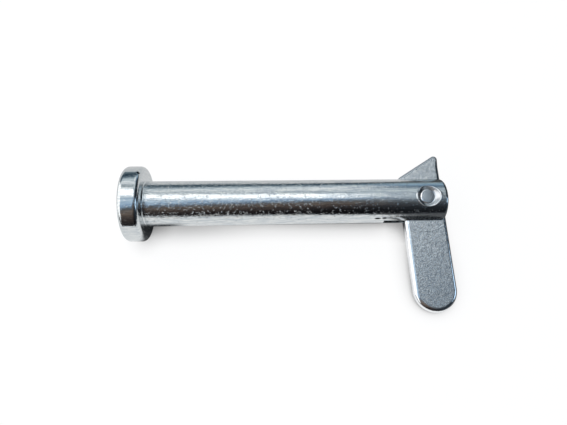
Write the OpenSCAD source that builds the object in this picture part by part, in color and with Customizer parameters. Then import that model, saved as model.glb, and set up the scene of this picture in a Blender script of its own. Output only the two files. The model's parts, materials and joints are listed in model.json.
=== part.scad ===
// Lynch pin with a drop toggle: a headed pin whose forked tip holds a flat bar on a cross rivet.
// It lies as it comes to rest, on the head's rim, the tip's edge and the toggle's round end.
// The origin is on the shank's axis, at the face under the head.

/* [Pin] */
// Diameter of the shank
shank_diameter = 16; // [16:0.5:20]
// Length of the shank, from under the head to the tip
shank_length = 106; // [80:1:160]
// Diameter of the head
head_diameter = 26.5; // [22:0.5:34]
// Thickness of the head
head_thickness = 7; // [4:0.5:12]
// Rounding of the head's two rims
head_rounding = 1.7; // [0.3:0.1:2.4]
// Fillet between the head and the shank
neck_fillet = 0.4; // [0.3:0.1:1.6]
// Rounding of the tip's edge
tip_rounding = 1.2; // [0.3:0.1:2]

/* [Fork] */
// Depth of the slot on the side where the toggle hangs
slot_depth = 22; // [20:0.5:28]
// Room left for the toggle's point where the slot opens on the far side
nose_clearance = 1; // [0.5:0.1:3]
// Radius of the disc cutter that mills the slot
cutter_radius = 40; // [30:1:63]
// Gap between the toggle and each cheek of the fork
cheek_clearance = 0.25; // [0.1:0.05:0.6]

/* [Toggle] */
// Width of the flat bar
toggle_width = 15.5; // [12:0.5:15.5]
// Thickness of the flat bar
toggle_thickness = 4; // [3:0.25:5]
// Length from the pivot to the round end
tail_length = 40.2; // [30:0.2:55]
// Length from the pivot to the point
nose_length = 17.3; // [14:0.1:20]
// Slant of the cut at the nose, from square
nose_slant = 28.8; // [15:0.2:35]
// How far the point is dressed back
point_trim = 1.3; // [0.3:0.1:1.8]
// Rounding of the bar's long edges and round end
toggle_rounding = 1.4; // [0.3:0.1:1.8]
// Chamfer along the cut at the nose
nose_chamfer = 0.8; // [0.2:0.1:1.2]
// Turn of the toggle from square, round end towards the tip
toggle_turn = 3; // [0:0.5:10]

/* [Rivet] */
// Diameter of the rivet
rivet_diameter = 5.5; // [4:0.25:7]
// Distance of the rivet from the tip
rivet_setback = 7.2; // [6:0.1:10]
// Radial play of the toggle on the rivet
pivot_play = 0.08; // [0.03:0.01:0.1]
// Radial play of the rivet in the fork
rivet_play = 0.02; // [0.01:0.01:0.05]
// Width of the countersink around the rivet, at the shank's crown
countersink_width = 1.5; // [1.3:0.1:2]
// Spread of the rivet's staked ends
staked_spread = 0.15; // [0.05:0.05:0.2]
// Drop of the rivet's flat ends below the shank's crown
rivet_recess = 1; // [0.4:0.1:1]
// Taper of the rivet's ends back to their flats
rivet_taper = 0.5; // [0.2:0.05:0.9]

/* [Hidden] */
$fn = 96;
overrun = 1;

shank_radius = shank_diameter / 2;
head_radius = head_diameter / 2;
rivet_radius = rivet_diameter / 2;
pivot_x = shank_length - rivet_setback;

// The point sweeps this circle, and crosses the shank's far side this far from the pivot
nose_sweep = norm([toggle_width / 2, nose_length]);
nose_crossing = sqrt(pow(nose_sweep, 2) - pow(shank_radius, 2));

// The slot's end is an arc of the cutter through these two corners, seen from the pivot
slot_width = toggle_thickness + 2 * cheek_clearance;
near_corner = [rivet_setback - slot_depth, -shank_radius];
far_corner = [-nose_crossing - nose_clearance, shank_radius];
corner_line = far_corner - near_corner;
cutter_offset = sqrt(pow(cutter_radius, 2) - pow(norm(corner_line) / 2, 2));
cutter_side = [corner_line.y, -corner_line.x] / norm(corner_line);
cutter_centre = (near_corner + far_corner) / 2 + cutter_offset * cutter_side;

// The countersinks are cut at 45 degrees, so they are as deep as they are wide
fork_hole_radius = rivet_radius + rivet_play;
countersink_floor = shank_radius - countersink_width;

tail_centre = tail_length - toggle_width / 2;
toggle_span = tail_length + nose_length + toggle_width;
point_angle = (90 - nose_slant) / 2;

// Pitch at which the head's rim and the tip's edge both touch the floor
rim_spacing = shank_length - tip_rounding + head_rounding;
rim_step = (head_radius - head_rounding) - (shank_radius - tip_rounding);
rest_pitch = atan2(rim_step, rim_spacing)
    + asin((head_rounding - tip_rounding) / norm([rim_spacing, rim_step]));
axis_height = (head_radius - head_rounding) * cos(rest_pitch)
    - head_rounding * sin(rest_pitch) + head_rounding;

// Depth of the round end's lowest point below the axis's height, for a roll of the pin
function tail_drop(roll) =
    (pivot_x + tail_centre * sin(toggle_turn)) * sin(rest_pitch)
    + tail_centre * cos(toggle_turn) * sin(roll) * cos(rest_pitch)
    + (toggle_width / 2 - toggle_rounding) * norm([sin(rest_pitch), sin(roll) * cos(rest_pitch)])
    + (toggle_thickness / 2 - toggle_rounding) * cos(roll) * cos(rest_pitch)
    + toggle_rounding;

// Roll, found by halving, at which the round end comes down on the floor
steepest_roll = 60;
roll_passes = 40;
function halve_roll(low, high, passes) =
    let (middle = (low + high) / 2)
    passes == 0 ? middle
    : tail_drop(middle) > axis_height ? halve_roll(low, middle, passes - 1)
    : halve_roll(middle, high, passes - 1);
rest_roll = halve_roll(0, steepest_roll, roll_passes);

// Turns the pin's own frame, with its axis along X and the rivet along Z, to how it lies
module at_rest() {
    rotate([rest_roll, rest_pitch, 0]) children();
}

module at_pivot() {
    translate([pivot_x, 0, 0]) children();
}

// Half profile of the pin, radius along X and length along Y, with its edges rounded
module pin_profile() {
    difference() {
        union() {
            square([shank_radius, shank_length - tip_rounding]);
            square([shank_radius - tip_rounding, shank_length]);
            translate([shank_radius - tip_rounding, shank_length - tip_rounding])
                circle(tip_rounding);
            translate([0, -head_thickness])
                square([head_radius - head_rounding, head_thickness]);
            translate([0, head_rounding - head_thickness])
                square([head_radius, head_thickness - 2 * head_rounding]);
            for (level = [-head_rounding, head_rounding - head_thickness])
                translate([head_radius - head_rounding, level]) circle(head_rounding);
            square([shank_radius + neck_fillet, neck_fillet]);
        }
        translate([shank_radius + neck_fillet, neck_fillet]) circle(neck_fillet);
    }
}

// Bore of the fork with a countersink at each end
module rivet_seat() {
    cylinder(h = shank_diameter, r = fork_hole_radius, center = true);
    for (side = [0, 1])
        mirror([0, 0, side])
            translate([0, 0, countersink_floor])
                cylinder(
                    h = countersink_width + overrun,
                    r1 = fork_hole_radius,
                    r2 = fork_hole_radius + countersink_width + overrun
                );
}

module headed_pin() {
    color("#B4BAC1") at_rest() difference() {
        rotate([90, 0, 90]) rotate_extrude() pin_profile();
        at_pivot() {
            translate([cutter_centre.x, cutter_centre.y, 0])
                cylinder(h = slot_width, r = cutter_radius, center = true);
            rivet_seat();
        }
    }
}

// Half section of the flat bar, from its middle out to a rounded edge
module edge_profile(reach) {
    square_height = toggle_thickness - 2 * toggle_rounding;
    translate([0, -toggle_thickness / 2])
        square([reach - toggle_rounding, toggle_thickness]);
    translate([0, -square_height / 2])
        square([reach, square_height]);
    for (side = [-1, 1])
        translate([reach - toggle_rounding, side * square_height / 2])
            circle(toggle_rounding);
}

// Block that keeps what lies behind a chamfered edge through a point, at an angle to square
module behind_edge(point, angle) {
    half_height = toggle_thickness / 2 + overrun;
    top = nose_chamfer + overrun;
    translate([point.x, point.y, 0])
        rotate([90, 0, angle + 90])
            translate([0, 0, -toggle_span])
                linear_extrude(2 * toggle_span)
                    polygon([
                        [-toggle_span, -half_height],
                        [-top, -half_height],
                        [0, top - half_height],
                        [0, half_height - top],
                        [-top, half_height],
                        [-toggle_span, half_height]
                    ]);
}

// Flat bar with one round end, from the pivot's place
module toggle_bar() {
    for (side = [0, 1])
        mirror([side, 0, 0])
            translate([0, nose_length + overrun, 0])
                rotate([90, 0, 0])
                    linear_extrude(nose_length + overrun + tail_centre)
                        edge_profile(toggle_width / 2);
    translate([0, -tail_centre, 0])
        rotate([0, 0, 180])
            rotate_extrude(angle = 180) edge_profile(toggle_width / 2);
}

module toggle() {
    point = [toggle_width / 2, nose_length];
    inward = [-sin(point_angle), -cos(point_angle)];
    color("#A7AEB6") at_rest() at_pivot() rotate([0, 0, toggle_turn]) difference() {
        intersection() {
            toggle_bar();
            behind_edge(point, nose_slant);
            behind_edge(point + point_trim * inward, -point_angle);
        }
        cylinder(h = toggle_thickness + 2 * overrun, r = rivet_radius + pivot_play, center = true);
    }
}

// Half profile of the rivet, with one staked end
module rivet_profile() {
    flat_end = shank_radius - rivet_recess;
    polygon([
        [0, 0],
        [rivet_radius, 0],
        [rivet_radius, countersink_floor],
        [rivet_radius + staked_spread, countersink_floor + staked_spread],
        [rivet_radius + staked_spread - rivet_taper, flat_end],
        [0, flat_end]
    ]);
}

module rivet() {
    color("#9DA3AA") at_rest() at_pivot()
        for (side = [0, 1])
            mirror([0, 0, side]) rotate_extrude() rivet_profile();
}

headed_pin();
toggle();
rivet();
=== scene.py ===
import json
import math

import bmesh
import bpy
from mathutils import Matrix, Vector


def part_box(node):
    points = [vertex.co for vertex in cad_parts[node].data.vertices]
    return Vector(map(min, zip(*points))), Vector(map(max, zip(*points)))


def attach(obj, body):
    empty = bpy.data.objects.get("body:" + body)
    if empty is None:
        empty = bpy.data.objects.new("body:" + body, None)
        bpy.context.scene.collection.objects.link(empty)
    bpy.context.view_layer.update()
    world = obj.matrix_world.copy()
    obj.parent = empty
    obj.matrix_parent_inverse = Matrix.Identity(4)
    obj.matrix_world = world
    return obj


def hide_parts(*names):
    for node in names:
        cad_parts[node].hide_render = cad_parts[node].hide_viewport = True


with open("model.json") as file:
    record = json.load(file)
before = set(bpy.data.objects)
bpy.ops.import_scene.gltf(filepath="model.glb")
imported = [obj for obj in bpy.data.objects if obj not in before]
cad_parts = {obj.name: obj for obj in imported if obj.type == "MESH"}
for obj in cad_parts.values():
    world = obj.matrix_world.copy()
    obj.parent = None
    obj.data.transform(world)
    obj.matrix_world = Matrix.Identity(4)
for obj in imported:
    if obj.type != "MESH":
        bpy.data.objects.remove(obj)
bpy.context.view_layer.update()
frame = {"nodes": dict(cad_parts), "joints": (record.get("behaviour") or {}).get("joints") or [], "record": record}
print("frame loaded:", ", ".join(sorted(frame["nodes"])))

mm = 0.001


# The frame says where the shank's axis and the rivet's axis lie
mounts = {m["name"]: m for m in frame["record"]["mounts"]}
joints = {j["name"]: j for j in frame["joints"]}
shankAxis = Vector(mounts["shank"]["axis"]).normalized()
rivetAxis = Vector(joints["toggle_swing"]["axis"]).normalized()
sideAxis = rivetAxis.cross(shankAxis)
headSeat = Vector(mounts["shank"]["pos_m"])
pivotPoint = Vector(joints["toggle_swing"]["pos_m"])
pivotAlong = (pivotPoint - headSeat).dot(shankAxis)
floorLevel = min(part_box(name)[0].z for name in frame["nodes"])


def axesAt(origin):
    turn = Matrix((shankAxis, sideAxis, rivetAxis)).transposed().to_4x4()
    return Matrix.Translation(origin) @ turn


def hexToLinear(text, alpha=1.0):
    parts = [int(text[i:i + 2], 16) / 255 for i in (1, 3, 5)]
    return [c / 12.92 if c <= 0.04045 else ((c + 0.055) / 1.055) ** 2.4 for c in parts] + [alpha]


# One node with its settings; an input is a link or a fixed value
def addNode(tree, kind, inputs=None, stops=None, **settings):
    node = tree.nodes.new(kind)
    for name, value in settings.items():
        setattr(node, name, value)
    for name, value in (inputs or {}).items():
        if isinstance(value, bpy.types.NodeSocket):
            tree.links.new(value, node.inputs[name])
        else:
            node.inputs[name].default_value = value
    if stops:
        elements = node.color_ramp.elements
        while len(elements) < len(stops):
            elements.new(1.0)
        for element, (place, colour) in zip(elements, stops):
            element.position, element.color = place, colour
    return node.outputs


def newTree(name):
    material = bpy.data.materials.new(name)
    material.use_nodes = True
    material.node_tree.nodes.clear()
    return material, material.node_tree


# One step of arithmetic, on links or numbers
def calculate(tree, operation, *values):
    return addNode(tree, "ShaderNodeMath", dict(enumerate(values)), operation=operation)[0]


def lengthOf(tree, vector):
    return addNode(tree, "ShaderNodeVectorMath", {0: vector}, operation="LENGTH")["Value"]


# Goes from low to high while a value goes from start to end
def ramp(tree, value, start, end, low=0.0, high=1.0, way="SMOOTHSTEP"):
    return addNode(tree, "ShaderNodeMapRange", {
        "Value": value, "From Min": start, "From Max": end, "To Min": low, "To Max": high},
        interpolation_type=way)["Result"]


# Goes through (place, level) points while a value goes from 0 to 1
def curve(tree, value, points):
    stops = [(place, (level, level, level, 1)) for place, level in points]
    return addNode(tree, "ShaderNodeValToRGB", {0: value}, stops)["Color"]


def mixColours(tree, share, under, over):
    return addNode(tree, "ShaderNodeMix", {0: share, 6: under, 7: over}, data_type="RGBA")[2]


# A piece's place is in its mesh, as on the frame's own parts
def addPiece(name, mesh, place, materials):
    mesh.transform(place)
    piece = bpy.data.objects.new(name, mesh)
    bpy.context.scene.collection.objects.link(piece)
    for material in materials:
        mesh.materials.append(material)
    return piece


def arcPoints(centre, radius, start, end, steps):
    angles = [math.radians(start + (end - start) * i / steps) for i in range(steps + 1)]
    return [(centre[0] + radius * math.cos(a), centre[1] + radius * math.sin(a)) for a in angles]


onAxis = 1e-9       # m, the radius below which a profile's point lies on the axis


# Turns a profile of (along, radius) points about the X axis
def latheMesh(bm, profile, segments):
    rings = []
    for along, radius in profile:
        if radius < onAxis:
            rings.append([bm.verts.new((along, 0, 0))])
            continue
        angles = [2 * math.pi * i / segments for i in range(segments)]
        rings.append([bm.verts.new((along, radius * math.cos(a), radius * math.sin(a))) for a in angles])
    for first, second in zip(rings, rings[1:]):
        for i in range(segments):
            j = (i + 1) % segments
            corners = [first[i % len(first)], second[i % len(second)],
                       second[j % len(second)], first[j % len(first)]]
            bm.faces.new(list(dict.fromkeys(corners))).smooth = True
    bmesh.ops.recalc_face_normals(bm, faces=bm.faces)


def meshFrom(name, bm):
    mesh = bpy.data.meshes.new(name)
    bm.to_mesh(mesh)
    bm.free()
    return mesh


# Headed pin: turned, slotted and cross-drilled
pinSizes = {
    "shankRadius": mounts["shank"]["dims"]["r_mm"],
    "shankLength": 106.0,
    "headRadius": 13.25,
    "headThickness": 7.0,
    "headRounding": 1.7,
    "neckFillet": 0.4,
    "tipRounding": 1.2,
    "slotWidth": 4.5,
    "slotNear": 14.8,         # slot's end from the pivot, on the side where the toggle hangs
    "slotFar": 18.19,         # and on the far side
    "cutterRadius": 40.0,
    "holeRadius": 2.77,
    "sinkWidth": 1.5,
    "edgeBreak": 0.12,        # what tumbling leaves of the cut edges
    "edgeLimit": 30,          # degrees between two faces from which their edge counts as cut
    "sliver": 0.06,           # faces narrower than this are merged
    "lipRadius": 0.28,        # lip that staking raises, and how deep it sits in the shank
    "lipSink": 0.08,
    "lipSinkBelow": 0.26,
    "lipSegments": 16,
    "arcSteps": 8,
    "shankSteps": 12,
    "segments": 96,
    "cutterSegments": 512,
    "overrun": 1.0,
}


def pinProfile(s):
    r, h, length = s["shankRadius"], s["headRadius"], s["shankLength"]
    e, t, f, k = s["headRounding"], s["tipRounding"], s["neckFillet"], s["headThickness"]
    arc, rows = s["arcSteps"], s["shankSteps"]
    points = [(-k, 0), (-k, h / 2)]
    points += arcPoints((e - k, h - e), e, 180, 90, arc)
    points += arcPoints((-e, h - e), e, 90, 0, arc)
    points += arcPoints((f, r + f), f, 180, 270, arc)
    points += [(length * i / rows, r) for i in range(1, rows)]
    points += arcPoints((length - t, r - t), t, 90, 0, arc)
    points += [(length, r / 2), (length, 0)]
    return [(x * mm, y * mm) for x, y in points]


# Disc that mills the slot: its rim passes the slot's two end corners
def slotCutter(s):
    near = Vector((-s["slotNear"], -s["shankRadius"]))
    far = Vector((-s["slotFar"], s["shankRadius"]))
    line = far - near
    offset = math.sqrt(s["cutterRadius"] ** 2 - (line.length / 2) ** 2)
    centre = (near + far) / 2 + offset * Vector((line.y, -line.x)).normalized()
    bm = bmesh.new()
    place = Matrix.Translation((pivotAlong + centre.x * mm, centre.y * mm, 0))
    bmesh.ops.create_cone(bm, cap_ends=True, segments=s["cutterSegments"], radius1=s["cutterRadius"] * mm,
                          radius2=s["cutterRadius"] * mm, depth=s["slotWidth"] * mm, matrix=place)
    return meshFrom("slotCutter", bm)


# Drill with a countersink at both ends, along Z through the pivot
def rivetDrill(s):
    r, hole, sink, over = s["shankRadius"], s["holeRadius"], s["sinkWidth"], s["overrun"]
    half = [(r - sink, hole), (r + over, hole + sink + over), (r + over, 0)]
    profile = [(-x, y) for x, y in reversed(half)] + half
    bm = bmesh.new()
    latheMesh(bm, [(x * mm, y * mm) for x, y in profile], s["segments"])
    turn = Matrix.Translation((pivotAlong, 0, 0)) @ Matrix.Rotation(math.radians(-90), 4, "Y")
    bm.transform(turn)
    return meshFrom("rivetDrill", bm)


# Lip that staking raises round a countersink, along the line where cone and shank meet
def stakedLip(s, side, sink):
    r, rise = s["shankRadius"], s["shankRadius"] - s["sinkWidth"] - s["holeRadius"]
    bm = bmesh.new()
    rings = []
    for i in range(s["segments"]):
        turn = 2 * math.pi * i / s["segments"]
        sine = math.sin(turn) ** 2
        # on the cone the height is the radius and the rise together
        height = (rise * sine + math.sqrt(r * r * (1 + sine) - rise * rise * sine)) / (1 + sine)
        outward = Vector((math.cos(turn), math.sin(turn), 0))
        centre = outward * (height - rise) + Vector((0, 0, height))
        up = Vector((0, centre.y, centre.z)).normalized()
        centre -= up * sink
        angles = [2 * math.pi * j / s["lipSegments"] for j in range(s["lipSegments"])]
        ring = [centre + s["lipRadius"] * (math.cos(a) * outward + math.sin(a) * up) for a in angles]
        rings.append([bm.verts.new((p.x * mm + pivotAlong, p.y * mm, side * p.z * mm)) for p in ring])
    for first, second in zip(rings, rings[1:] + rings[:1]):
        for j in range(s["lipSegments"]):
            k = (j + 1) % s["lipSegments"]
            bm.faces.new((first[j], second[j], second[k], first[k])).smooth = True
    bmesh.ops.recalc_face_normals(bm, faces=bm.faces)
    return meshFrom("stakedLip", bm)


def buildPin(s, materials):
    bm = bmesh.new()
    latheMesh(bm, pinProfile(s), s["segments"])
    blank = addPiece("pinBlank", meshFrom("pinBlank", bm), Matrix(), [])
    steps = [(slotCutter(s), "DIFFERENCE"), (rivetDrill(s), "DIFFERENCE"),
             (stakedLip(s, 1, s["lipSink"]), "UNION"), (stakedLip(s, -1, s["lipSinkBelow"]), "UNION")]
    cutters = [addPiece(m.name, m, Matrix(), []) for m, operation in steps]
    for cutter, (m, operation) in zip(cutters, steps):
        cut = blank.modifiers.new(cutter.name, "BOOLEAN")
        cut.operation = operation
        cut.solver = "EXACT"
        cut.object = cutter
    evaluated = blank.evaluated_get(bpy.context.evaluated_depsgraph_get())
    bm = bmesh.new()
    bm.from_mesh(evaluated.to_mesh())
    # slivers left by the cuts would hold the edge rounding back
    bmesh.ops.remove_doubles(bm, verts=bm.verts, dist=s["sliver"] * mm)
    bmesh.ops.dissolve_degenerate(bm, edges=bm.edges, dist=s["sliver"] * mm)
    # the countersinks and their lips take the second finish, a zinc painted pale for a painted highlight
    lipReach = s["holeRadius"] + s["sinkWidth"] + 2 * s["lipRadius"]
    for face in bm.faces:
        middle = face.calc_center_median() / mm
        offShank = abs(math.hypot(middle.y, middle.z) - s["shankRadius"])
        inside = math.hypot(middle.x - pivotAlong / mm, middle.y) < lipReach
        if inside and offShank > s["sliver"] and abs(middle.z) > s["slotWidth"]:
            face.material_index = 1
    mesh = meshFrom("forkedPin", bm)
    for helper in [blank] + cutters:
        bpy.data.objects.remove(helper)
    piece = addPiece("forkedPin", mesh, axesAt(headSeat), materials)
    roundEdges(piece, s["edgeBreak"], s["edgeLimit"])
    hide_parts("headed_pin")
    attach(piece, "pin")
    return piece


edgeSegments = 3


# Small edge rounding that catches the light, with flats and rounds left true
def roundEdges(piece, width, limit):
    bevel = piece.modifiers.new("edgeBreak", "BEVEL")
    bevel.width = width * mm
    bevel.segments = edgeSegments
    bevel.limit_method = "ANGLE"
    bevel.angle_limit = math.radians(limit)
    bevel.use_clamp_overlap = False
    piece.modifiers.new("trueNormals", "WEIGHTED_NORMAL").keep_sharp = True


# Toggle: flat bar with one round end and a slanted nose
toggleSizes = {
    "width": 15.5,
    "thickness": 4.0,
    "tailLength": 40.2,
    "noseLength": 17.3,
    "noseSlant": 28.8,        # degrees from square
    "turn": 3.0,              # degrees from square at rest
    "pointRounding": 1.35,
    "heelRounding": 1.3,
    "edgeRounding": 1.4,      # along the bar
    "endRounding": 1.95,      # round its end
    "noseRounding": 0.8,      # along the slanted cut
    "roundingRun": 3.0,       # length in which one goes over into the other
    "boreRadius": 2.83,
    "endSteps": 48,
    "cornerSteps": 8,
    "edgeSteps": 8,
    "boreSegments": 64,
}


# Points of a rounded corner, each with its outward normal
def cornerPoints(before, corner, after, radius, steps):
    incoming = (corner - before).normalized()
    outgoing = (after - corner).normalized()
    swing = incoming.angle(outgoing)
    centre = corner - incoming * radius * math.tan(swing / 2) + radius * Vector((-incoming.y, incoming.x))
    first = math.atan2(-incoming.x, incoming.y)
    angles = [first + swing * i / steps for i in range(steps + 1)]
    normals = [Vector((math.cos(a), math.sin(a))) for a in angles]
    return [(centre + radius * n, n) for n in normals]


togglePlace = axesAt(pivotPoint) @ Matrix.Rotation(math.radians(toggleSizes["turn"]), 4, "Z")


# Outline points with their normals and the rounding of the edge there
def toggleOutline(s):
    half = s["width"] / 2
    heel = s["noseLength"] - s["width"] * math.tan(math.radians(s["noseSlant"]))
    endCentre = half - s["tailLength"]
    right = Vector((half, endCentre))
    point = Vector((half, s["noseLength"]))
    heelCorner = Vector((-half, heel))
    left = Vector((-half, endCentre))
    run = Vector((0, s["roundingRun"]))
    bar, nose = s["edgeRounding"], s["noseRounding"]
    outline = []
    for i in range(s["endSteps"] + 1):
        a = math.pi + math.pi * i / s["endSteps"]
        normal = Vector((math.cos(a), math.sin(a)))
        rounding = bar + (s["endRounding"] - bar) * math.sin(a) ** 2
        outline.append((Vector((0, endCentre)) + half * normal, normal, rounding))
    corner = cornerPoints(right, point, heelCorner, s["pointRounding"], s["cornerSteps"])
    outline.append((corner[0][0] - run, corner[0][1], bar))
    outline += [(place, normal, nose) for place, normal in corner]
    corner = cornerPoints(point, heelCorner, left, s["heelRounding"], s["cornerSteps"])
    outline += [(place, normal, nose) for place, normal in corner]
    outline.append((corner[-1][0] - run, corner[-1][1], bar))
    return outline


def buildToggle(s, materials):
    outline = toggleOutline(s)
    half, steps = s["thickness"] / 2, s["edgeSteps"]
    turns = [math.radians(90 * i / steps) for i in range(steps + 1)]
    section = [(a, -1) for a in reversed(turns)] + [(a, 1) for a in turns]
    bm = bmesh.new()
    rings = []
    for a, side in section:
        ring = []
        for point, normal, e in outline:
            place = point - e * (1 - math.cos(a)) * normal
            ring.append(bm.verts.new((place.x * mm, place.y * mm, side * (half - e + e * math.sin(a)) * mm)))
        rings.append(ring)
    count = len(outline)
    for lower, upper in zip(rings, rings[1:]):
        for i in range(count):
            j = (i + 1) % count
            sheared = max(outline[i][2], outline[j][2]) == s["noseRounding"]
            bm.faces.new((lower[i], lower[j], upper[j], upper[i])).material_index = 2 if sheared else 1
    bores = []
    for z in (-half, half):
        angles = [2 * math.pi * i / s["boreSegments"] for i in range(s["boreSegments"])]
        r = s["boreRadius"]
        bores.append([bm.verts.new((r * math.cos(a) * mm, r * math.sin(a) * mm, z * mm)) for a in angles])
    for i in range(s["boreSegments"]):
        j = (i + 1) % s["boreSegments"]
        bm.faces.new((bores[0][j], bores[0][i], bores[1][i], bores[1][j]))
    for face in bm.faces:
        face.smooth = True
    # the two flats, from the rounded edge in to the bore
    for ring, bore in ((rings[0], bores[0]), (rings[-1], bores[1])):
        edges = [bm.edges.get((loop[i - 1], loop[i])) for loop in (ring, bore) for i in range(len(loop))]
        bmesh.ops.triangle_fill(bm, edges=edges, use_beauty=True)
    bmesh.ops.recalc_face_normals(bm, faces=bm.faces)
    piece = addPiece("dropToggle", meshFrom("dropToggle", bm), togglePlace, materials)
    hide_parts("toggle")
    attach(piece, "toggle")
    return piece


# Cross rivet, staked out into both countersinks
rivetSizes = {
    "radius": 2.75,
    "spread": 0.15,
    "recess": 1.0,
    "taper": 0.5,
    "edgeBreak": 0.18,
    "edgeLimit": 20,
    "segments": 72,
}


def buildRivet(s, pin, materials):
    sinkFloor = pin["shankRadius"] - pin["sinkWidth"]
    flatEnd = pin["shankRadius"] - s["recess"]
    r, wide = s["radius"], s["radius"] + s["spread"]
    half = [(0, r), (sinkFloor, r), (sinkFloor + s["spread"], wide),
            (flatEnd, wide - s["taper"]), (flatEnd, 0)]
    profile = [(-x, y) for x, y in reversed(half[1:])] + half
    bm = bmesh.new()
    latheMesh(bm, [(x * mm, y * mm) for x, y in profile], s["segments"])
    # the hammered tapers take the second finish, the edge zinc painted near white for a painted highlight
    for face in bm.faces:
        along = abs(face.calc_center_median().x) / mm
        if sinkFloor + s["spread"] < along < flatEnd - s["edgeBreak"] / 2:
            face.material_index = 1
    bm.transform(Matrix.Rotation(math.radians(-90), 4, "Y"))
    piece = addPiece("crossRivet", meshFrom("crossRivet", bm), axesAt(pivotPoint), materials)
    roundEdges(piece, s["edgeBreak"], s["edgeLimit"])
    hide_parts("rivet")
    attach(piece, "pin")
    return piece


# Zinc finishes: sizes and heights in mm, colours as sRGB. Real grain is under 0.1 mm and a few
# thousandths high, so grain, pits and scuffs are drawn coarser and higher to show in the picture.

# Drawn bar, plated bright: a mirror with sharp bands, lengthwise streaks and bright specks
shankZinc = {
    "name": "bright zinc plate on drawn bar",
    "colours": ("#C0C7CC", "#DDE0DF"), "patch": 0.55, "patchLength": 5.0,
    "roughness": (0.07, 0.15),
    "wave": 1.1, "waveHeight": 0.05,
    "grain": 0.42, "grainHeight": 0.055,
    "drawn": 0.3, "drawnLength": 9.0, "drawnHeight": 0.018,
    "pitSpacing": 0.8, "pitSize": 0.45, "pitShare": 0.45, "pitHeight": 0.15,
    "scuff": 0.8, "scuffWidth": 0.025, "scuffHeight": 0.06, "scuffShare": (0.54, 0.66),
    # places along the pin and how strong the relief is there: the turned head is smoothest
    "calm": [(-7, 0.25), (-0.5, 0.25), (0.8, 1.0), (40, 0.9), (70, 0.55), (106, 0.35)],
    # dark nicks: place, half length and half width
    "nicks": [((81.2, -7.1, 3.68), 1.2, 0.5), ((83.6, -7.03, 3.82), 0.9, 0.5),
              ((-0.9, 8.3, 10.0), 0.6, 0.6)],
    "nickColour": "#141618",
}
# Tumbled flat bar: a satin grey with a fine even grain, which blurs what it mirrors
toggleFaceZinc = {
    "name": "zinc plate on tumbled flat bar",
    "colours": ("#CBD0D3", "#E8EBEB"), "patch": 0.9,
    "roughness": (0.16, 0.28),
    "wave": 1.2, "waveHeight": 0.03,
    "grain": 0.26, "grainHeight": 0.08,
    "drawn": 0.5, "drawnLength": 0.8, "drawnHeight": 0.012,
    "pitSpacing": 1.4, "pitSize": 0.5, "pitShare": 0.35, "pitHeight": 0.07,
    "scuff": 1.1, "scuffWidth": 0.02, "scuffHeight": 0.035, "scuffShare": (0.5, 0.62),
    "rubRadius": 11.8, "rubHalf": 0.35, "rubHeight": 0.035,     # arc that the fork rubs, and its half width
}
# Edges worked round and smooth, in zinc painted near white for a painted highlight: they stay white where they
# turn to the light
toggleEdgeZincPaintedBright = {
    "name": "zinc plate on rolled edge",
    "colours": ("#EEF1F3", "#F5F6F7"), "patch": 4.0,
    "roughness": (0.1, 0.18),
    "wave": 1.5, "waveHeight": 0.04,
    "grain": 0.5, "grainHeight": 0.015,
    "drawn": 0.3, "drawnLength": 2.0, "drawnHeight": 0.005,
    "pitSpacing": 2.0, "pitSize": 0.4, "pitShare": 0.2, "pitHeight": 0.02,
}
# Sheared cut: duller and darker than the faces
toggleNoseZinc = {
    "name": "zinc plate on sheared nose",
    "colours": ("#A9B0B6", "#BCC2C6"), "patch": 3.0,
    "roughness": (0.3, 0.42),
    "wave": 1.2, "waveHeight": 0.03,
    "grain": 0.4, "grainHeight": 0.03,
    "drawn": 0.3, "drawnLength": 1.0, "drawnHeight": 0.01,
    "pitSpacing": 1.4, "pitSize": 0.4, "pitShare": 0.3, "pitHeight": 0.03,
}
# Cone and lip pressed by the staking tool, in zinc painted paler than the shank for a painted highlight: pale,
# soft highlights, with painted shade deep in the groove on one side
seatZincPaintedBright = {
    "name": "zinc plate pressed by staking, painted bright",
    "colours": ("#EDF0F2", "#F6F7F8"), "patch": 2.0,
    "roughness": (0.29, 0.36),
    "wave": 0.9, "waveHeight": 0.01,
    "grain": 0.4, "grainHeight": 0.008,
    "drawn": 0.4, "drawnLength": 1.0, "drawnHeight": 0.003,
    "pitSpacing": 1.2, "pitSize": 0.4, "pitShare": 0.2, "pitHeight": 0.01,
    # colour of the painted shade deep in the groove, and where it fades in along the pin and towards the rivet
    "grooveShadeColour": "#30363C", "grooveShadeAlong": (-0.6, -2.2), "grooveShadeOutward": (4.0, 3.7),
}
# Flat ends of the rivet: plate worn thin, so a quiet mid grey
rivetZinc = {
    "name": "zinc plate on staked rivet",
    "colours": ("#A4AAAF", "#B4B9BD"), "patch": 3.0,
    "roughness": (0.14, 0.22),
    "wave": 0.9, "waveHeight": 0.03,
    "grain": 0.4, "grainHeight": 0.03,
    "drawn": 0.4, "drawnLength": 1.0, "drawnHeight": 0.005,
    "pitSpacing": 1.2, "pitSize": 0.4, "pitShare": 0.2, "pitHeight": 0.02,
}


# Detail and roughness of each noise pattern
noiseKinds = {
    "patch": (3.0, 0.5),
    "wave": (1.0, 0.5),
    "grain": (2.0, 0.6),
    "drawn": (2.0, 0.5),
    "scuff": (1.0, 0.5),
}
noiseMiddle = 0.5
noiseSpan = (0.3, 0.7)      # where nearly all of a noise pattern lies
tintSpan = (0.35, 0.65)     # and a narrower span, for a stronger tint
pitFloor = 0.3              # share of a pit's radius that is its floor
nickCore = 0.75             # share of a nick that is fully dark


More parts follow.
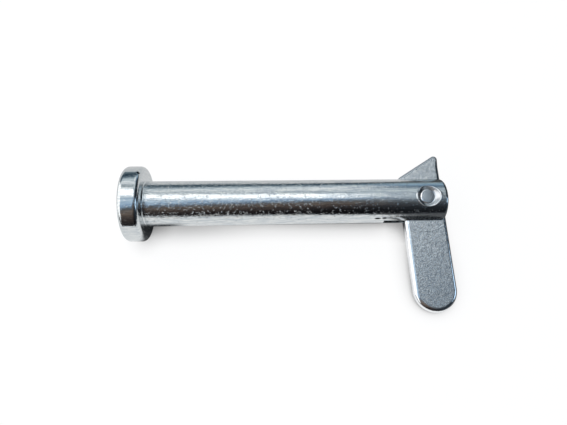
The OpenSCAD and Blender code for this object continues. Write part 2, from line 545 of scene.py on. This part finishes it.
# Noise pattern of one kind, drawn out along the piece where the finish gives it a length
def noisePattern(tree, s, kind, coords):
    detail, roughness = noiseKinds[kind]
    stretch = s[kind] / s.get(kind + "Length", s[kind])
    along = addNode(tree, "ShaderNodeMapping", {"Vector": coords, "Scale": (stretch, 1, 1)})["Vector"]
    return addNode(tree, "ShaderNodeTexNoise", {
        "Vector": along, "Scale": 1 / (s[kind] * mm), "Detail": detail, "Roughness": roughness})["Fac"]


# Pits: some cells hold one, each of its own depth
def pitPattern(tree, s, coords):
    cells = addNode(tree, "ShaderNodeTexVoronoi", {
        "Vector": coords, "Scale": 1 / (s["pitSpacing"] * mm)})
    rim = s["pitSize"] / s["pitSpacing"] / 2
    dips = ramp(tree, cells["Distance"], rim, pitFloor * rim)
    chosen = ramp(tree, cells["Color"], s["pitShare"], 0.0, way="LINEAR")
    return calculate(tree, "MULTIPLY", dips, chosen)


# Scuffs: thin lines along the middle level of a noise pattern, where the waves stand high
def scuffPattern(tree, s, coords, waves):
    level = calculate(tree, "SUBTRACT", noisePattern(tree, s, "scuff", coords), noiseMiddle)
    level = calculate(tree, "ABSOLUTE", level)
    thin = ramp(tree, level, 0.0, s["scuffWidth"], low=1.0, high=0.0)
    rubbed = ramp(tree, waves, *s["scuffShare"], way="LINEAR")
    return calculate(tree, "MULTIPLY", thin, rubbed)


# Arc round the pivot that the fork rubs
def rubPattern(tree, s, coords):
    away = calculate(tree, "SUBTRACT", lengthOf(tree, coords), s["rubRadius"] * mm)
    away = calculate(tree, "ABSOLUTE", away)
    return ramp(tree, away, 0.0, s["rubHalf"] * mm, low=1.0, high=0.0)


# How strong the relief is from place to place along the piece
def reliefStrength(tree, s, coords):
    start, end = s["calm"][0][0], s["calm"][-1][0]
    along = addNode(tree, "ShaderNodeSeparateXYZ", {0: coords})["X"]
    share = ramp(tree, along, start * mm, end * mm, way="LINEAR")
    return curve(tree, share, [((place - start) / (end - start), level) for place, level in s["calm"]])


# Dark nicks over a colour
def addNicks(tree, s, coords, colour):
    for centre, half, wide in s["nicks"]:
        away = addNode(tree, "ShaderNodeVectorMath", {
            0: coords, 1: [c * mm for c in centre]}, operation="SUBTRACT")[0]
        away = addNode(tree, "ShaderNodeVectorMath", {
            0: away, 1: (wide / half, 1, 1)}, operation="MULTIPLY")[0]
        dark = ramp(tree, lengthOf(tree, away), wide * mm, nickCore * wide * mm, way="LINEAR")
        colour = mixColours(tree, dark, colour, hexToLinear(s["nickColour"]))
    return colour


# Painted shade deep in the groove round the rivet, on one side, over a colour
def addGrooveShade(tree, s, coords, colour):
    along = addNode(tree, "ShaderNodeSeparateXYZ", {0: coords})["X"]
    flat = addNode(tree, "ShaderNodeVectorMath", {0: coords, 1: (1, 1, 0)}, operation="MULTIPLY")[0]
    shares = []
    for reach, (none, full) in ((along, s["grooveShadeAlong"]), (lengthOf(tree, flat), s["grooveShadeOutward"])):
        shares.append(ramp(tree, reach, none * mm, full * mm))
    return mixColours(tree, calculate(tree, "MULTIPLY", *shares), colour, hexToLinear(s["grooveShadeColour"]))


# Zinc plate: a mirror broken up by the steel's waves and grain, lines from drawing, and small pits
def zincMaterial(s, place):
    material, tree = newTree(s["name"])
    # the piece's own axes, so that drawn lines run along it
    coords = addNode(tree, "ShaderNodeTexCoord")["Object"]
    coords = addNode(tree, "ShaderNodeMapping", {
        "Vector": coords, "Location": place.to_translation(), "Rotation": place.to_euler()},
        vector_type="TEXTURE")["Vector"]
    patches, waves, grain, drawn = [
        noisePattern(tree, s, kind, coords) for kind in ("patch", "wave", "grain", "drawn")]
    rough = ramp(tree, drawn, *noiseSpan, *s["roughness"], way="LINEAR")
    tint = ramp(tree, patches, *tintSpan, way="LINEAR")
    colour = mixColours(tree, tint, *[hexToLinear(c) for c in s["colours"]])
    if "nicks" in s:
        colour = addNicks(tree, s, coords, colour)
    # painted shade deep in the groove round the rivet
    if "grooveShadeColour" in s:
        colour = addGrooveShade(tree, s, coords, colour)
    reliefs = {}
    if "rubHeight" in s:
        reliefs["rub"] = rubPattern(tree, s, coords)
    if "scuffHeight" in s:
        reliefs["scuff"] = scuffPattern(tree, s, coords, waves)
    reliefs.update(wave=waves, grain=grain, drawn=drawn, pit=pitPattern(tree, s, coords))
    strength = reliefStrength(tree, s, coords) if "calm" in s else 1.0
    normal = addNode(tree, "ShaderNodeNewGeometry")["Normal"]
    for kind, height in reliefs.items():
        normal = addNode(tree, "ShaderNodeBump", {
            "Height": height, "Distance": s[kind + "Height"] * mm, "Strength": strength,
            "Normal": normal}, invert=kind == "pit")["Normal"]
    shader = addNode(tree, "ShaderNodeBsdfPrincipled", {
        "Metallic": 1.0, "Base Color": colour, "Roughness": rough, "Normal": normal})["BSDF"]
    addNode(tree, "ShaderNodeOutputMaterial", {"Surface": shader})
    return material


zincOnShank = zincMaterial(shankZinc, axesAt(headSeat))
zincOnSeatPaintedBright = zincMaterial(seatZincPaintedBright, axesAt(pivotPoint))
zincOnFace = zincMaterial(toggleFaceZinc, togglePlace)
zincOnEdgePaintedBright = zincMaterial(toggleEdgeZincPaintedBright, togglePlace)
zincOnNose = zincMaterial(toggleNoseZinc, togglePlace)
zincOnRivet = zincMaterial(rivetZinc, axesAt(pivotPoint))
print("materials made")

buildPin(pinSizes, [zincOnShank, zincOnSeatPaintedBright])
print("pin made")
buildToggle(toggleSizes, [zincOnFace, zincOnEdgePaintedBright, zincOnNose])
print("toggle made")
buildRivet(rivetSizes, pinSizes, [zincOnRivet, zincOnEdgePaintedBright])
print("rivet made")


# Pale floor, white to the eye, which keeps the object's soft shadow
floorLook = {
    "size": 6.0,
    "colour": "#606061",
    "glow": 0.93,
    "shadowReach": 0.008,                 # m
    "shadowSamples": 16,
    # openness of the floor, and the light there as the eye sees it
    "shadow": [(0.25, 0.3), (0.4, 0.5), (0.47, 0.64), (0.53, 0.75),
               (0.6, 0.83), (0.7, 0.89), (0.85, 0.97), (0.95, 1.0)],
    "mirrored": (0.4, 0.85),              # openness where it is dark and light as the metal shows it
    # wide soft shadow beside the head, for the eye and as the metal shows it, in m:
    # where it begins and fades along the pin, where it ends to the front and back, and its darkest share
    "headShadow": ((-0.008, -0.001), (0.046, 0.008), (-0.0135, -0.002), (0.003, -0.001), 0.56),
    "headMirrored": ((-0.008, -0.002), (0.013, 0.004), (-0.022, -0.011), (0.005, -0.001), 0.03),
    # how the paper dims as the metal shows it, to the back, and a painted dark reflection to the right, where only
    # the metal shows the paper dark: from where to where, in m, and from which light to which
    "fallOff": (-0.005, 0.02, 0.93, 0.7),
    "mirroredDarkRight": (0.106, 0.114, 1.0, 0.05),
}


# Darkens a shade of the floor beside the head
def shadeBesideHead(tree, where, shade, beside):
    *limits, darkest = beside
    dark = 1.0 - darkest
    for axis, (outer, inner) in zip("XXYY", limits):
        dark = calculate(tree, "MULTIPLY", ramp(tree, where[axis], outer, inner), dark)
    return calculate(tree, "MULTIPLY", shade, calculate(tree, "SUBTRACT", 1.0, dark))


# Paper that glows to the eye and in the metal, with a shadow of its own for each
def paperMaterial(s):
    material, tree = newTree("matte white paper")
    path = addNode(tree, "ShaderNodeLightPath")
    seen = path["Is Camera Ray"]
    for ray in ("Is Glossy Ray", "Is Transmission Ray"):
        seen = calculate(tree, "MAXIMUM", seen, path[ray])
    openness = addNode(tree, "ShaderNodeAmbientOcclusion", {
        "Distance": s["shadowReach"]}, samples=s["shadowSamples"])["AO"]
    place = addNode(tree, "ShaderNodeNewGeometry")["Position"]
    where = addNode(tree, "ShaderNodeSeparateXYZ", {0: place})
    shadow = shadeBesideHead(tree, where, curve(tree, openness, s["shadow"]), s["headShadow"])
    mirrored = shadeBesideHead(tree, where, ramp(tree, openness, *s["mirrored"]), s["headMirrored"])
    # as the metal shows it the paper dims to the back, and to the right it is a painted dark reflection
    for axis, name in (("Y", "fallOff"), ("X", "mirroredDarkRight")):
        mirrored = calculate(tree, "MULTIPLY", mirrored, ramp(tree, where[axis], *s[name]))
    shade = addNode(tree, "ShaderNodeMix", {0: path["Is Camera Ray"], 2: mirrored, 3: shadow})[0]
    strength = calculate(tree, "MULTIPLY", calculate(tree, "MULTIPLY", seen, shade), s["glow"])
    matte = addNode(tree, "ShaderNodeBsdfDiffuse", {"Color": hexToLinear(s["colour"])})[0]
    glow = addNode(tree, "ShaderNodeEmission", {"Strength": strength})[0]
    both = addNode(tree, "ShaderNodeAddShader", {0: matte, 1: glow})[0]
    addNode(tree, "ShaderNodeOutputMaterial", {"Surface": both})
    return material


def buildFloor(s):
    bm = bmesh.new()
    bmesh.ops.create_grid(bm, x_segments=1, y_segments=1, size=s["size"] / 2)
    place = Matrix.Translation((0, 0, floorLevel))
    floor = addPiece("paleFloor", meshFrom("paleFloor", bm), place, [paperMaterial(s)])


# Round light dome over the pin. Angles are from overhead, minus to the back and plus to the front;
# sides are shares of the way from overhead to the horizon, minus to the left
domeLook = {
    "radius": 1.2, "segments": 64,
    "rimSlack": 1e-6,          # m, so that the points on the rim stay
    "middle": 50.0,            # along the pin, mm
    "span": 110.0,
    "skew": (33.0, 0.15),      # how far the panels turn from left to right, and how that grows to the front
    "panels": [(-104, "#EDEFF0"), (-95, "#8E9EA6"), (-86, "#3A4C58"), (-76, "#3C505C"), (-70, "#71838F"),
               (-64, "#BCCAD3"), (-58, "#E6EFF4"), (-48, "#FAFDFF"), (-38, "#F2F7FA"), (-28, "#E2EAEF"),
               (-8, "#D4E2ED"), (8, "#BCD4EA"), (17, "#A8C3DF"), (20, "#869DB4"), (23, "#565C64"),
               (27, "#62605F"), (34, "#786C64"), (46, "#564B46"), (58, "#3A3433"), (70, "#252223"),
               (80, "#151416"), (90, "#0C0D0F")],
    "rightPanels": [(-95, "#CBD2D4"), (-88, "#A3B3B7"), (-80, "#9FBACB"), (-70, "#92AEC6"), (-60, "#5F7588"),
                    (-53, "#8497A6"), (-45, "#C3CFD6"), (-30, "#CDD8DE"), (-18, "#C4CED6"), (-8, "#CFD8DE"),
                    (0, "#BCC6CE"), (6, "#A9B4BE"), (12, "#929DA7"), (18, "#767F88"), (28, "#5A5F63"),
                    (40, "#42454A"), (55, "#2A2D31"), (80, "#17191C"), (90, "#2A2D31")],
    # panels and windows at the sides, each over the ones before it: colour and light, from where to
    # where it rises sideways, and where it rises and falls towards the front and upwards
    "sides": {
        "right": {"sideways": (0.24, 0.38)},
        "farRight": {"colour": "#2C343C", "light": 1.0, "sideways": (0.48, 0.58)},
        "edge": {"colour": "#C4E0FA", "light": 1.6, "sideways": (0.62, 0.7),
                 "front": (-0.06, 0.06, 0.25, 0.4), "up": (0.12, 0.22, 0.55, 0.68)},
        "farLeft": {"colour": "#0E0F11", "light": 1.0, "sideways": (-0.42, -0.54),
                    "front": (0.15, 0.35, 2.0, 3.0)},
        "highLeft": {"colour": "#FFFFFF", "light": 1.5, "sideways": (-0.46, -0.58),
                     "front": (0.1, 0.3, 0.8, 0.95), "up": (0.15, 0.3, 2.0, 3.0)},
        "left": {"colour": "#FFFFFF", "light": 1.5, "sideways": (-0.36, -0.44),
                 "front": (-0.65, -0.5, 0.2, 0.4)},
    },
    # white bar overhead, and a grey seam behind it with its middle told from the bar's
    "bar": 1.9, "barMiddle": -10.5, "barSkew": 9.0, "barHalf": 10.0, "barSoft": 4.0,
    "barFadeFrom": 0.14, "barFadeTo": 0.38,
    "seam": "#A6B2B8", "seamMiddle": -19.5, "seamHalf": 4.5,
}


# Colours of a row of panels, told by an angle
def panelColours(tree, panels, span, angle):
    share = calculate(tree, "MULTIPLY_ADD", angle, 0.5 / span, 0.5)
    stops = [(0.5 + 0.5 * degrees / span, hexToLinear(colour)) for degrees, colour in panels]
    return addNode(tree, "ShaderNodeValToRGB", {0: share}, stops)["Color"]


# Bar and seam over a colour, fading to the right
def addBar(tree, s, sideways, angle, colour):
    place = calculate(tree, "MULTIPLY_ADD", sideways, -s["barSkew"], angle)
    place = calculate(tree, "SUBTRACT", place, s["barMiddle"])
    fade = ramp(tree, sideways, s["barFadeTo"], s["barFadeFrom"])
    soft = s["barSoft"] / 2
    for middle, half, light in ((s["seamMiddle"], s["seamHalf"], hexToLinear(s["seam"])),
                                (0.0, s["barHalf"], [s["bar"]] * 3 + [1.0])):
        away = calculate(tree, "ABSOLUTE", calculate(tree, "SUBTRACT", place, middle))
        inside = calculate(tree, "MULTIPLY", ramp(tree, away, half + soft, half - soft), fade)
        colour = mixColours(tree, inside, colour, light)
    return colour


# Panels and windows at the sides over a colour; one without a colour shows the right panels
def addSides(tree, sides, ways, rightPanels, colour):
    for side in sides.values():
        light = rightPanels
        if "colour" in side:
            light = [side["light"] * c for c in hexToLinear(side["colour"])]
        share = ramp(tree, ways["sideways"], *side["sideways"])
        for way in ("front", "up"):
            if way in side:
                rise, full, fall, end = side[way]
                for outer, inner in ((rise, full), (end, fall)):
                    share = calculate(tree, "MULTIPLY", share, ramp(tree, ways[way], outer, inner))
        colour = mixColours(tree, share, colour, light)
    return colour


def domeMaterial(s):
    material, tree = newTree("light dome")
    coords = addNode(tree, "ShaderNodeTexCoord")["Object"]
    unit = addNode(tree, "ShaderNodeVectorMath", {0: coords}, operation="NORMALIZE")[0]
    parts = addNode(tree, "ShaderNodeSeparateXYZ", {0: unit})
    sideways, up = parts["X"], parts["Z"]
    front = calculate(tree, "MULTIPLY", parts["Y"], -1.0)
    angle = calculate(tree, "DEGREES", calculate(tree, "ARCTAN2", front, up))
    turn, growth = s["skew"]
    skew = calculate(tree, "MULTIPLY_ADD", angle, growth, turn)
    turned = calculate(tree, "MULTIPLY_ADD", sideways, skew, angle)
    rightPanels = panelColours(tree, s["rightPanels"], s["span"], angle)
    colour = panelColours(tree, s["panels"], s["span"], turned)
    colour = addBar(tree, s, sideways, angle, colour)
    ways = {"sideways": sideways, "front": front, "up": up}
    colour = addSides(tree, s["sides"], ways, rightPanels, colour)
    glow = addNode(tree, "ShaderNodeEmission", {"Color": colour})[0]
    addNode(tree, "ShaderNodeOutputMaterial", {"Surface": glow})
    return material


def buildDome(s):
    bm = bmesh.new()
    bmesh.ops.create_uvsphere(bm, u_segments=s["segments"], v_segments=s["segments"], radius=s["radius"])
    low = [v for v in bm.verts if v.co.z < -s["rimSlack"]]
    bmesh.ops.delete(bm, geom=low, context="VERTS")
    dome = addPiece("lightDome", meshFrom("lightDome", bm), Matrix(), [domeMaterial(s)])
    dome.location = (s["middle"] * mm, 0, floorLevel)
    dome.visible_camera = False


buildFloor(floorLook)
buildDome(domeLook)

roomColour = "#F2F4F5"
scene = bpy.context.scene
scene.view_settings.view_transform = "Standard"
world = bpy.data.worlds.new("paleRoom")
scene.world = world
world.use_nodes = True
world.node_tree.nodes["Background"].inputs["Color"].default_value = hexToLinear(roomColour)
print("stage made")


# Camera at the photograph's place: nearly overhead, on the side where the toggle hangs
cameraPlace = {
    "place": (46.19, -60.53, 141.31),     # mm
    "tilt": 21.527,                       # degrees from straight down
    "heading": -1.881,
    "focalPixels": 432.5,                 # in a picture 567 wide
    "pictureWidth": 567,
    "sensor": 36.0,
    "clipStart": 10.0,
}


def buildCamera(s):
    data = bpy.data.cameras.new("viewFromPhoto")
    data.sensor_fit = "HORIZONTAL"
    data.sensor_width = s["sensor"]
    data.lens = s["sensor"] * s["focalPixels"] / s["pictureWidth"]
    data.clip_start = s["clipStart"] * mm
    camera = bpy.data.objects.new("viewFromPhoto", data)
    scene.collection.objects.link(camera)
    camera.location = [c * mm for c in s["place"]]
    camera.rotation_euler = (math.radians(s["tilt"]), 0, math.radians(s["heading"]))
    scene.camera = camera


buildCamera(cameraPlace)
print("camera set")

bpy.context.view_layer.update()
